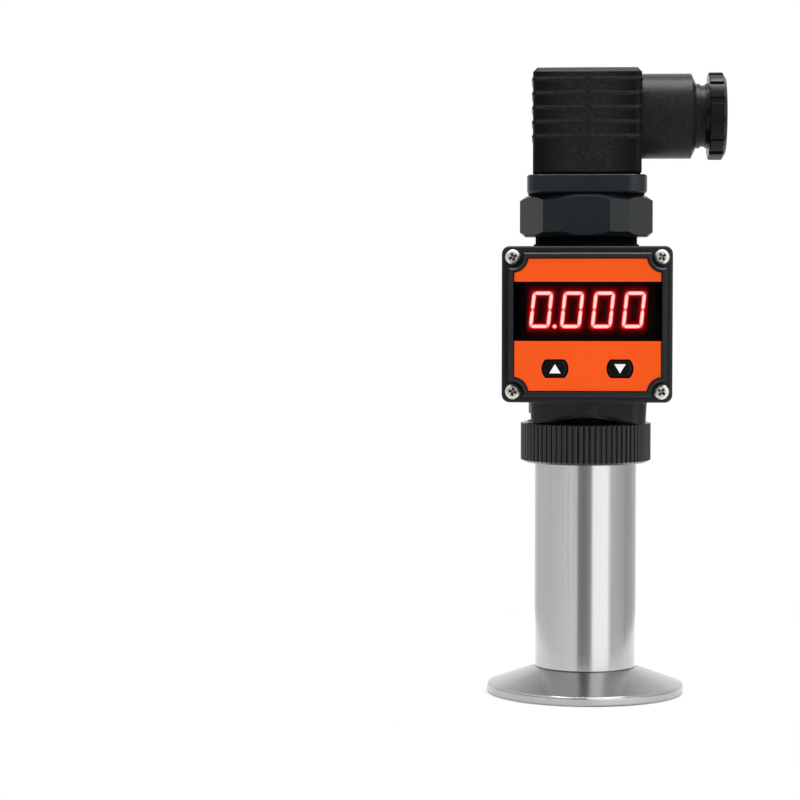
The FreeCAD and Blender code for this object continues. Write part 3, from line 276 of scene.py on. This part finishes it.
def scattered_light():
    """Red light scattered in the pane round each lit bar, as strong as the sheet's own `glow`."""
    material = bpy.data.materials.new("scattered red light")
    material.use_nodes = True
    tree = material.node_tree
    tree.nodes.remove(tree.nodes["Principled BSDF"])
    fade = ((0, "#000000"), (0.05, "#140000"), (0.2, "#400003"), (0.4, "#780008"),
            (0.62, "#C40C18"), (0.82, "#F04048"), (1, "#FFC4C0"))
    glow = add(tree, "Attribute", output="Fac", attribute_name="glow")
    red = add(tree, "ValToRGB", {"Fac": glow},
              stops=[(place, linear(shade)) for place, shade in fade])
    light = add(tree, "Emission", {"Color": red, "Strength": 3.4})
    add(tree, "AddShader", {0: light, 1: add(tree, "BsdfTransparent")},
        feeds=tree.nodes["Material Output"].inputs["Surface"])
    return material


def circuit_board():
    """FR4 glass laminate under green solder mask: its 1.1 mm weave shows as a grid of bumps.

    The mask is semi-gloss, clouded 2 mm across.
    """
    material, tree, shader, place = new_material("green solder mask on FR4", "#0F5A34", 0.35,
                                                 IOR=1.55)
    weave = add(tree, "TexBrick", {"Vector": place, "Scale": 1 / 1.1, "Mortar Size": 0.03,
                                   "Color1": linear("#0E5230"), "Color2": linear("#12623A"),
                                   "Mortar": linear("#0B4428")}, feeds=shader.inputs["Base Color"])
    cloud = add(tree, "TexNoise", {"Vector": place, "Scale": 1 / 2, "Detail": 2})
    vary(tree, shader, cloud, roughness=(0.28, 0.42))
    vary(tree, shader, weave.node.outputs["Fac"], relief=0.01)
    return material


def soft_vinyl():
    """PVC wire covering, extruded: semi-gloss red with faint lines from the die, 0.3 mm apart."""
    material, tree, shader, place = new_material("extruded red vinyl", "#A81616", 0.4, IOR=1.53)
    drawn = add(tree, "Mapping", {"Vector": place, "Scale": (1 / 0.3, 1 / 0.3, 1 / 6)})
    lines = add(tree, "TexNoise", {"Vector": drawn, "Scale": 1.0, "Detail": 2})
    vary(tree, shader, lines, roughness=(0.32, 0.5), tones=("#8E1010", "#B81C1A"), relief=0.006)
    return material


def printed_ink():
    """White pad-printed ink: flat and slightly chalky, with pinholes 0.15 mm across."""
    material, tree, shader, place = new_material("white pad-printed ink", "#F2F2F0", 0.5, IOR=1.5,
                                                 Specular_IOR_Level=0.2)
    chalk = add(tree, "TexNoise", {"Vector": place, "Scale": 1 / 0.15, "Detail": 3})
    vary(tree, shader, chalk, roughness=(0.42, 0.62), tones=("#E2E2DF", "#F8F8F6"), relief=0.004)
    return material


# The moulded plastics by material slot: what each is, its shade, worn shade and roughness, its
# grain and depth in mm, how pale its pits are, and its specular level. The level is matched, low
# on the blacks, so that they stay black under the softbox.
PLASTICS = {
    "black_housing": ("spark-grained black ABS",
                      "#1E2123", "#24272A", 0.34, 0.4, 0.008, 0.85, 0.15),
    "black_nut": ("black glass-filled nylon nut",
                  "#171C1F", "#1C2124", 0.26, 0.5, 0.004, 0.85, 0.24),
    "black_ring": ("black glass-filled nylon ring",
                   "#0B0E11", "#13171A", 0.12, 0.4, 0.003, 0.85, 0.38),
    "black_gland": ("black nylon gland", "#0A0B0C", "#131415", 0.26, 0.4, 0.006, 0.8, 0.15),
    "white_insert": ("natural nylon insert", "#D9D6CC", "#E4E1D8", 0.5, 0.4, 0.004, 0.95, 0.3),
    "grey_header": ("grey glass-bead header", "#6E7276", "#7E8286", 0.55, 0.3, 0.006, 0.85, 0.3),
    "black_key": ("glossy black ABS key", "#060606", "#090909", 0.24, 0.5, 0.002, 0.85, 0.14),
    "led_block": ("black polycarbonate reflector",
                  "#040303", "#060404", 0.6, 0.4, 0.003, 0.85, 0.03),
    "black_chip": ("black moulding epoxy", "#1A1B1C", "#232425", 0.6, 0.3, 0.006, 0.85, 0.3),
    "washer_plastic": ("white acetal washer", "#D0D0CC", "#DCDCD8", 0.45, 0.4, 0.004, 0.95, 0.3),
}


def make_finishes():
    """Every finish by the material slot that it belongs to."""
    finishes = {slot: moulded_plastic(*values, Specular_IOR_Level=gloss)
                for slot, (*values, gloss) in PLASTICS.items()}
    finishes.update({
        # Painted light: the paler #1C1E1D is painted on the plug's ridges and outlet, which stand
        # out, as where light falls on them.
        "black_plug": moulded_plastic("coarse-grained black nylon", "#060707", "#1C1E1D", 0.36,
                                      0.36, 0.04, 0.45, proud=(13.67, 13.8),
                                      Specular_IOR_Level=0.1),
        "turned_steel": lathe_steel("turned 316L stainless steel", "#B1B1B1", 0.2, 0.16, 0.0006),
        "tube_steel": lathe_steel("brushed 304 stainless tube", "#B1B1B1", 0.14, 0.22, 0.0004,
                                  brushed=0.75),
        "cell_steel": lathe_steel("turned 316L cell steel", "#ACACAC", 0.28, 0.2, 0.001),
        "diaphragm_steel": pressed_foil(),
        "screw_nickel": plated_metal("nickel-plated screw steel", "#F0EEE8", "#C4BFB4", 0.36),
        "pin_gold": plated_metal("gold-plated nickel-iron pin", "#E2B85C", "#B98E3C", 0.18),
        "contact_brass": plated_metal("tin-plated brass blade", "#CFCBC2", "#A49A86", 0.24),
        "insert_brass": plated_metal("turned brass", "#C9A45A", "#9C7A3C", 0.25),
        "black_rubber": moulded_rubber(),
        "smoked_window": smoked_acrylic(),
        "orange_film": printed_film(),
        "led_lit": light_bars("lit epoxy bar", "#3A1010", "#FFB4AC", 5.8),
        "green_board": circuit_board(),
        "red_wire": soft_vinyl(),
    })
    return finishes


def dress_nodes(finishes):
    """Give every CAD node the finish of its slot."""
    for part in frame["record"]["subparts"]:
        held = frame["nodes"][part["node"]]
        held.data.materials.clear()
        held.data.materials.append(finishes[part["material_slot"]])


# ---- mesh tools ----

def new_piece(name, mesh, body, material):
    """A piece of the object: it rides on a CAD body and takes the finish it is given."""
    piece = bpy.data.objects.new(name, mesh)
    bpy.context.scene.collection.objects.link(piece)
    mesh.materials.clear()
    mesh.materials.append(material)
    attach(piece, body)
    return piece


def mesh_of(name, build):
    """A mesh from a bmesh."""
    mesh = bpy.data.meshes.new(name)
    build.to_mesh(mesh)
    build.free()
    return mesh


def solid_islands(node):
    """The separate solids of a CAD node, each as its corners and its faces, in a fixed order."""
    build = bmesh.new()
    build.from_mesh(frame["nodes"][node].data)
    bmesh.ops.remove_doubles(build, verts=build.verts, dist=0.0001 * MM)
    build.verts.index_update()
    reached, islands = set(), []
    for first in build.verts:
        if first.index in reached:
            continue
        reached.add(first.index)
        found = [first]
        for corner in found:
            for other in (edge.other_vert(corner) for edge in corner.link_edges):
                if other.index not in reached:
                    reached.add(other.index)
                    found.append(other)
        order = {corner.index: place for place, corner in enumerate(found)}
        faces = dict.fromkeys(face for corner in found for face in corner.link_faces)
        islands.append(([corner.co.copy() for corner in found],
                        [[order[corner.index] for corner in face.verts] for face in faces]))
    build.free()
    return islands


def joined(name, islands):
    """One mesh that holds several solids."""
    corners, faces = [], []
    for points, sides in islands:
        faces += [[len(corners) + place for place in side] for side in sides]
        corners += points
    mesh = bpy.data.meshes.new(name)
    mesh.from_pydata([tuple(point) for point in corners], [], faces)
    mesh.update()
    return mesh


def middle_of(corners):
    """The mean of a solid's corners."""
    return sum(corners, Vector()) / len(corners)


def span_of(corners):
    """A solid's width or its height, whichever is more."""
    return max(max(corner[axis] for corner in corners) - min(corner[axis] for corner in corners)
               for axis in (0, 2))


# ---- the lit reading, 0.000 ----

POINT = 1.5 * MM  # a decimal point's span is less than this, and a bar's is more


def bar_axis(corners):
    """The two ends of a bar's centre line, which are one place for a decimal point."""
    middle = middle_of(corners)
    arms = [Vector((corner.x - middle.x, 0, corner.z - middle.z)) for corner in corners]
    along = max(arms, key=lambda arm: arm.length)
    if along.length < POINT / 2:
        along = Vector()
    return middle - along, middle + along


def is_lit(corners, centre_z, first_point):
    """Whether a bar is lit: all but the middle bars, and only the first digit's point."""
    near = 1 * MM
    middle = middle_of(corners)
    if span_of(corners) < POINT:
        return abs(middle.x - first_point) < near
    return abs(middle.z - centre_z) > near


def make_reading(lit_bar):
    """Lit and dark bars in place of the digits' solids, and light scattered round the lit ones."""
    low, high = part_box("led_digits")
    islands = solid_islands("led_digits")
    first_point = min(middle_of(corners).x for corners, _ in islands if span_of(corners) < POINT)
    lit, dark = [], []
    for island in islands:
        group = lit if is_lit(island[0], (low.z + high.z) / 2, first_point) else dark
        group.append(island)
    dark_bar = light_bars("unlit epoxy bar", "#140606", "#140606", 0.0)
    for name, group, material in (("lit_bars", lit, lit_bar), ("unlit_bars", dark, dark_bar)):
        piece = new_piece(name, joined(name, group), "display_head", material)
        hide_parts("led_digits")
    make_scattered_light([bar_axis(corners) for corners, _ in lit], low.y)


def glow_at(place, bars):
    """1 on a lit bar's centre line, falling off past its core."""
    core, reach, fade = 0.18 * MM, 1.3 * MM, 0.55
    nearest = reach * 4
    for start, end in bars:
        along = end - start
        share = (place - start).dot(along) / max(along.length_squared, 1e-12)
        gap = place - (start + along * max(0.0, min(1.0, share)))
        nearest = min(nearest, math.hypot(gap.x, gap.z))
    return math.exp(-max(0.0, nearest - core) / (reach * fade))


def make_scattered_light(bars, front):
    """A sheet just ahead of the bars, whose `glow` falls with the distance from the nearest one."""
    low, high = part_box("led_module")
    step, ahead = 0.14 * MM, 0.03 * MM
    columns = int((high.x - low.x) / step)
    rows = int((high.z - low.z) / step)
    build = bmesh.new()
    layer = build.verts.layers.float.new("glow")
    grid = []
    for row in range(rows + 1):
        line = []
        for column in range(columns + 1):
            place = Vector((low.x + column * step, front - ahead, low.z + row * step))
            corner = build.verts.new(place)
            corner[layer] = glow_at(place, bars)
            line.append(corner)
        grid.append(line)
    for lower, upper in zip(grid, grid[1:]):
        for place in range(columns):
            build.faces.new((lower[place], lower[place + 1], upper[place + 1], upper[place]))
    new_piece("scattered_light", mesh_of("scattered_light", build), "display_head",
              scattered_light())


# ---- small parts of the face ----

def make_arrow(name, key, way, ink):
    """The printed arrow on a key, up (1) or down (-1): a thin raised triangle of ink."""
    low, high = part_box(key)
    centre_x, centre_z, front = (low.x + high.x) / 2, (low.z + high.z) / 2, low.y
    half_wide, half_high, thick, rounded = 1.42 * MM, 1.15 * MM, 0.04 * MM, 0.03 * MM
    build = bmesh.new()
    outline = [(-half_wide, -half_high), (half_wide, -half_high), (0, half_high)]
    corners = [build.verts.new((centre_x + x, front, centre_z + way * z)) for x, z in outline]
    face = build.faces.new(corners)
    raised = bmesh.ops.extrude_face_region(build, geom=[face])["geom"]
    moved = [item for item in raised if isinstance(item, bmesh.types.BMVert)]
    bmesh.ops.translate(build, verts=moved, vec=(0, -thick, 0))
    bmesh.ops.recalc_face_normals(build, faces=build.faces)
    sharp = [edge for edge in build.edges if all(corner in moved for corner in edge.verts)]
    bmesh.ops.bevel(build, geom=sharp, offset=rounded, segments=2, affect="EDGES")
    new_piece(name, mesh_of(name, build), key, ink)


def cross_cutter(centre, front, turn):
    """A tapered cross that cuts the recess of a screw head."""
    half_long, half_wide, proud, deep = 1.25 * MM, 0.34 * MM, 0.3 * MM, 1.05 * MM
    build = bmesh.new()
    for arm in (0, 90):
        spin = Matrix.Rotation(math.radians(turn + arm), 4, "Y")
        ring = []
        for depth, length, width in ((-proud, 1.0, 1.0), (deep, 0.35, 0.74)):
            for x, z in ((-1, -1), (1, -1), (1, 1), (-1, 1)):
                point = spin @ Vector((x * half_long * length, 0, z * half_wide * width))
                start = Vector((centre.x, front + depth, centre.z))
                ring.append(build.verts.new(start + point))
        build.faces.new(ring[:4])
        build.faces.new(ring[4:])
        for place in range(4):
            after = (place + 1) % 4
            build.faces.new((ring[place], ring[after], ring[4 + after], ring[4 + place]))
    bmesh.ops.recalc_face_normals(build, faces=build.faces)
    return build


def make_screws(nickel):
    """The cover screws with their cross recesses, in place of the plain solids."""
    turns = (12, 38, -22, 55)  # in degrees, as each screw came to rest
    islands = solid_islands("cover_screws")
    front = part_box("cover_screws")[0].y
    piece = new_piece("cross_screws", joined("cross_screws", islands), "display_head",
                      nickel)
    centres = sorted((middle_of(corners) for corners, _ in islands),
                     key=lambda point: (point.z, point.x))
    for centre, turn in zip(centres, turns):
        cutter = bpy.data.objects.new("cutter", mesh_of("cutter",
                                                        cross_cutter(centre, front, turn)))
        bpy.context.scene.collection.objects.link(cutter)
        cut = piece.modifiers.new("recess", "BOOLEAN")
        cut.operation, cut.solver, cut.object = "DIFFERENCE", "EXACT", cutter
        cut.use_self = True
        shown = piece.evaluated_get(bpy.context.evaluated_depsgraph_get())
        piece.data = bpy.data.meshes.new_from_object(shown)
        piece.modifiers.clear()
        bpy.data.objects.remove(cutter)
    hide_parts("cover_screws")


# ---- black rubber skins: a neck seal that also paints shade, and a band of painted shade ----

def turned_ring(name, profile, arch=0, steps=160):
    """A closed ring: `profile`, a loop of (radius, height) in mm, turned round the Z axis.

    Its top falls away from the middle, front and back, by `arch` times the square of x.
    """
    build = bmesh.new()
    top = max(height for _, height in profile)
    loops = []
    for step in range(steps):
        angle = 2 * math.pi * step / steps
        loop = []
        for radius, height in profile:
            x, y = radius * math.cos(angle), radius * math.sin(angle)
            fall = arch * x ** 2 if height == top else 0
            loop.append(build.verts.new(Vector((x, y, height - fall)) * MM))
        loops.append(loop)
    for step, here in enumerate(loops):
        there = loops[(step + 1) % steps]
        for place, corner in enumerate(here):
            after = (place + 1) % len(profile)
            build.faces.new((corner, there[place], there[after], here[after]))
    bmesh.ops.recalc_face_normals(build, faces=build.faces)
    for face in build.faces:
        face.smooth = True
    return mesh_of(name, build)


def make_seal_and_shade_skins(rubber):
    """Black rubber skins that paint shade: a sleeve round the neck under the lock nut, partly a
    seal, and a band round the spigot in the arch above the ring.
    """
    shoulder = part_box("front_cover")[1].z / MM - 0.25
    neck_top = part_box("rear_housing")[1].z / MM
    # The sleeve is partly a seal and partly painted shade: a black skin over the neck where it lies
    # in shade under the lock nut.
    inside, neck, root, step, gap = 12.5, 12.98, 13.43, neck_top - 1.86, 0.04
    sleeve = ((inside, shoulder), (root, shoulder), (root, step), (neck, step + 0.06),
              (neck, neck_top - gap), (inside, neck_top - gap))
    # The band is painted shade: a black skin in the arch between the collar and the ring, where
    # shade falls.
    low, high, inner, outer = 67.5, 71.2, 12.3, 12.68
    band = ((inner, low), (outer, low), (outer, high), (inner, high))
    for name, profile, arch in (("neck_seal_and_shade", sleeve, 0), ("painted_shade_band", band, 0.02)):
        new_piece(name, turned_ring(name, profile, arch), "display_head", rubber)


# ---- studio ----

# The world's radiance by the turn from the camera's side, in degrees: WALLS below the horizon and
# high up, and UPPER just above the horizon, with a black flag on its left. ROOF gives it over the
# back, by how far the direction leans to the right.
WALLS = ((-180, 1.0), (-155, 0.9), (-135, 0.86), (-115, 0.96), (-90, 0.98), (-67, 1.08),
         (-30, 1.22), (-21, 1.18), (-16, 0.42), (-6, 0.34), (3, 0.38), (12, 0.58), (17, 1.86),
         (51, 1.92), (56, 1.15), (62, 0.84), (92, 0.78), (104, 0.62), (120, 0.68), (150, 0.82),
         (180, 1.0))
UPPER = ((-180, 1.0), (-136, 1.0), (-126, 0.7), (-100, 0.75), (-84, 0.28), (-34, 0.28),
         (-24, 0.5), (-16, 0.34), (11, 0.42), (18, 1.82), (72, 1.9), (80, 0.66), (126, 0.62),
         (136, 1.0), (180, 1.0))
ROOF = ((-0.25, 0.9), (-0.14, 0.3), (-0.11, 0.25), (-0.09, 0.6), (-0.035, 0.6), (-0.026, 0.16),
        (0.022, 0.16), (0.03, 1.7), (0.1, 1.7), (0.115, 0.3), (0.15, 0.3), (0.25, 0.9))
SKY = 2.0  # a ramp's colours end at 1, so a ramp holds radiance over SKY, which then scales it up


def ramp_stops(bands):
    """Ramp stops from bands, each a place along the ramp's whole span and a radiance."""
    first, last = bands[0][0], bands[-1][0]
    return [((place - first) / (last - first), (level / SKY, level / SKY, level / SKY, 1))
            for place, level in bands]


def make_world():
    """A pale studio: a white backdrop, a dark gap behind the camera, a tall softbox to its right.

    The backdrop is a plain white to what looks straight at it, mirrors it or sees it through
    glass.
    """
    world = bpy.data.worlds.new("studio")
    bpy.context.scene.world = world
    world.use_nodes = True
    tree = world.node_tree
    tree.nodes.remove(tree.nodes["Background"])
    parts = add(tree, "SeparateXYZ", {"Vector": add(tree, "TexCoord", output="Generated")})
    x, y, z = parts.node.outputs
    front = add(tree, "Math", {0: y, 1: -1.0}, operation="MULTIPLY")
    turn = add(tree, "Math", {0: x, 1: front}, operation="ARCTAN2")
    share = add(tree, "MapRange", {"Value": turn, "From Min": -math.pi, "From Max": math.pi})
    walls = add(tree, "ValToRGB", {"Fac": share}, stops=ramp_stops(WALLS))
    upper = add(tree, "ValToRGB", {"Fac": share}, stops=ramp_stops(UPPER))
    lifted = add(tree, "MapRange", {"Value": z, "From Min": -0.02, "From Max": 0.02})
    topped = add(tree, "MapRange", {"Value": z, "From Min": 0.34, "From Max": 0.44})
    flagged = add(tree, "Math", {0: lifted, 1: topped}, operation="SUBTRACT", use_clamp=True)
    sides = add(tree, "Mix", {"Factor": flagged, "A": walls, "B": upper}, output="Result",
                data_type="RGBA")
    across = add(tree, "MapRange", {"Value": x, "From Min": ROOF[0][0], "From Max": ROOF[-1][0]})
    roof = add(tree, "ValToRGB", {"Fac": across}, stops=ramp_stops(ROOF))
    raised = add(tree, "MapRange", {"Value": z, "From Min": 0.38, "From Max": 0.5})
    rear = add(tree, "MapRange", {"Value": y, "From Min": 0.0, "From Max": 0.05})
    above = add(tree, "Math", {0: raised, 1: rear}, operation="MULTIPLY")
    studio = add(tree, "Mix", {"Factor": above, "A": sides, "B": roof}, output="Result",
                 data_type="RGBA")
    light = add(tree, "Background", {"Color": studio, "Strength": SKY})
    white = add(tree, "Background", {"Color": (1, 1, 1, 1), "Strength": 1.0})
    looks = add(tree, "LightPath").node.outputs
    behind = add(tree, "MapRange", {"Value": y, "From Min": 0.93, "From Max": 0.97})
    low = add(tree, "Math", {0: behind, 1: raised}, operation="SUBTRACT", use_clamp=True)
    mirrored = add(tree, "Math", {0: looks["Is Glossy Ray"], 1: low}, operation="MULTIPLY")
    direct = add(tree, "Math", {0: looks["Is Camera Ray"], 1: looks["Is Transmission Ray"]},
                 operation="MAXIMUM")
    seen = add(tree, "Math", {0: direct, 1: mirrored}, operation="MAXIMUM")
    add(tree, "MixShader", {0: seen, 1: light, 2: white},
        feeds=tree.nodes["World Output"].inputs["Surface"])


def make_lamp(name, place, aim, size, power):
    """A softbox: a rectangular lamp that faces the point `aim`."""
    data = bpy.data.lights.new(name, "AREA")
    data.shape, data.size, data.size_y, data.energy = "RECTANGLE", size[0], size[1], power
    lamp = bpy.data.objects.new(name, data)
    bpy.context.scene.collection.objects.link(lamp)
    lamp.location = place
    lamp.rotation_euler = (Vector(aim) - Vector(place)).to_track_quat("-Z", "Y").to_euler()


def make_floor():
    """A plain white floor, which shows the object's soft shadow.

    It is small, so that the tube mirrors little of it. The paper's tooth is drawn 1.5 mm across.
    """
    radius, shift, drop, lift = 0.105, 0.05, 0.1 * MM, 0.2
    build = bmesh.new()
    bmesh.ops.create_circle(build, cap_ends=True, segments=64, radius=radius)
    floor = bpy.data.objects.new("floor", mesh_of("floor", build))
    bpy.context.scene.collection.objects.link(floor)
    floor.location = (0, shift, cad_low.z - drop)
    material = bpy.data.materials.new("white paper sweep")
    material.use_nodes = True
    tree = material.node_tree
    tree.nodes.remove(tree.nodes["Principled BSDF"])
    metres = add(tree, "TexCoord", output="Object")
    place = add(tree, "Mapping", {"Vector": metres, "Scale": IN_MM})
    tooth = add(tree, "TexNoise", {"Vector": place, "Scale": 1 / 1.5, "Detail": 3})
    fibres = add(tree, "Bump", {"Height": tooth, "Distance": 0.02 * MM})
    matt = add(tree, "BsdfDiffuse", {"Color": linear("#DEDEDE"), "Normal": fibres})
    looks = add(tree, "LightPath").node.outputs
    direct = add(tree, "Math", {0: looks["Is Camera Ray"], 1: looks["Is Transmission Ray"]},
                 operation="MAXIMUM")
    seen = add(tree, "Math", {0: direct, 1: looks["Is Glossy Ray"]}, operation="MAXIMUM")
    strength = add(tree, "Math", {0: seen, 1: lift}, operation="MULTIPLY")
    glow = add(tree, "Emission", {"Color": (1, 1, 1, 1), "Strength": strength})
    add(tree, "AddShader", {0: matt, 1: glow},
        feeds=tree.nodes["Material Output"].inputs["Surface"])
    floor.data.materials.append(material)


def make_camera():
    """A long lens level with the display, with the object right of the picture's centre."""
    place, aim = Vector((-0.010, -0.644, 0.104)), Vector((-0.0478, 0, 0.075))
    data = bpy.data.cameras.new("camera")
    data.sensor_width, data.lens = 36, 112.6
    data.clip_start, data.clip_end = 0.05, 20
    camera = bpy.data.objects.new("camera", data)
    bpy.context.scene.collection.objects.link(camera)
    camera.location = place
    camera.rotation_euler = (aim - place).to_track_quat("-Z", "Y").to_euler()
    bpy.context.scene.camera = camera


bpy.context.scene.view_settings.view_transform = "Standard"
finishes = make_finishes()
dress_nodes(finishes)
make_reading(finishes["led_lit"])
ink = printed_ink()
make_arrow("up_arrow", "key_up", 1, ink)
make_arrow("down_arrow", "key_down", -1, ink)
make_screws(finishes["screw_nickel"])
make_seal_and_shade_skins(finishes["black_rubber"])
make_world()
make_lamp("overhead softbox", place=(0.02, 0.01, 0.42), aim=(0.02, 0, 0), size=(0.3, 0.16),
          power=1.6)
make_floor()
make_camera()
